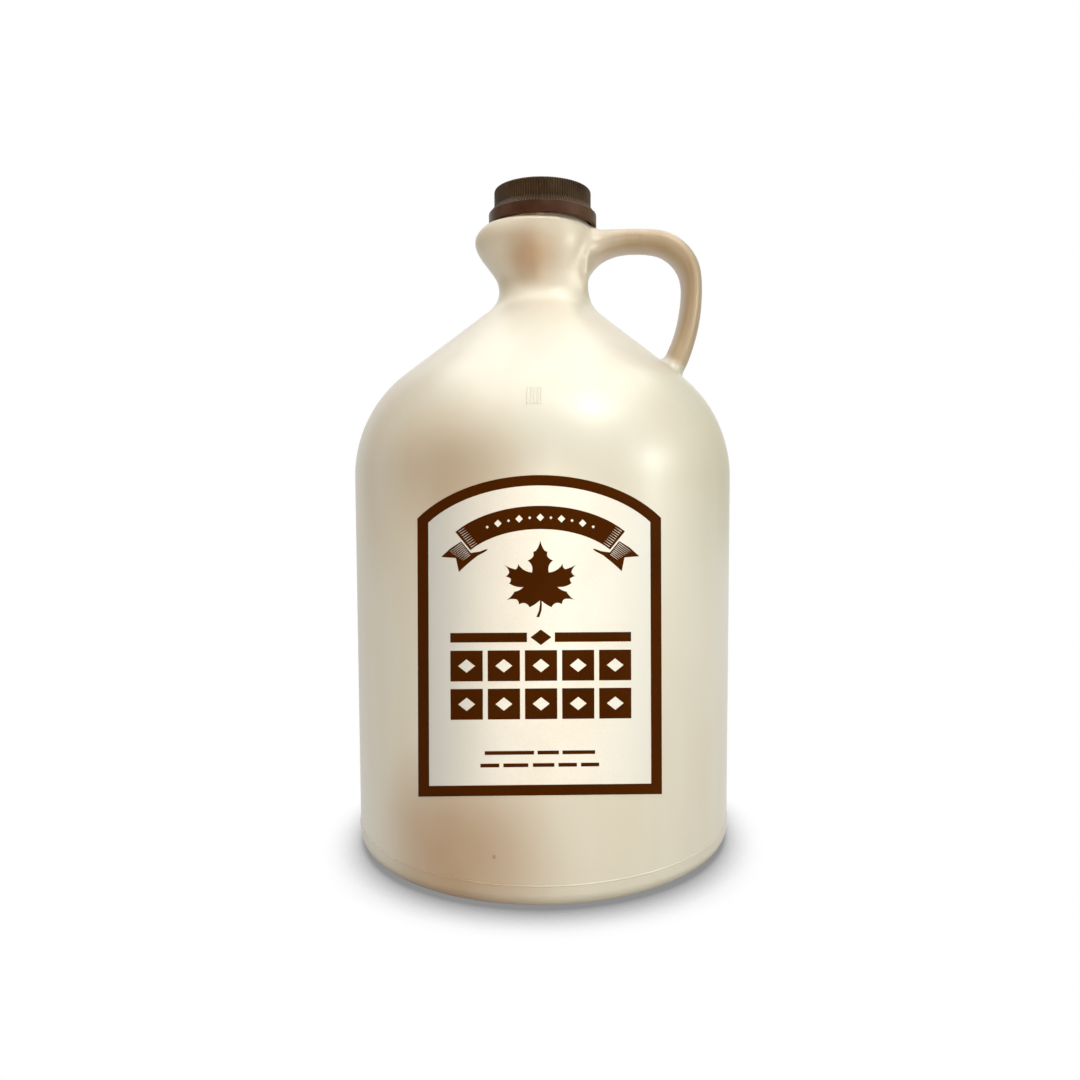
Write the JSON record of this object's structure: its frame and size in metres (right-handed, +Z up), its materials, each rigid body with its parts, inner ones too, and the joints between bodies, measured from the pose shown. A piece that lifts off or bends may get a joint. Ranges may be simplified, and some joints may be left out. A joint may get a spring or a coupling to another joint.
{
  "type": "maple syrup jug",
  "caption": "Round one-gallon syrup jug with a ring handle and pouring lip, a ribbed screw cap over a tamper band, and an arched label on the front.",
  "frame": {"origin": "on the body's axis, on the surface that the jug stands on", "axes": "+Z up along the body's axis, -Y out of the label's front, +X from the axis towards the handle"},
  "size_m": [0.1606, 0.1606, 0.276],
  "materials": {
    "jug_plastic": "pearly tan blow-moulded plastic, soft gloss",
    "cap_plastic": "dark brown moulded plastic, satin",
    "band_plastic": "dark brown moulded plastic, soft gloss",
    "label_face": "cream film label, satin",
    "label_print": "dark brown printed ink"
  },
  "bodies": {
    "root": {"jug": "jug_plastic", "cap": "cap_plastic", "tamper_band": "band_plastic", "label": "label_face"}
  },
  "joints": []
}
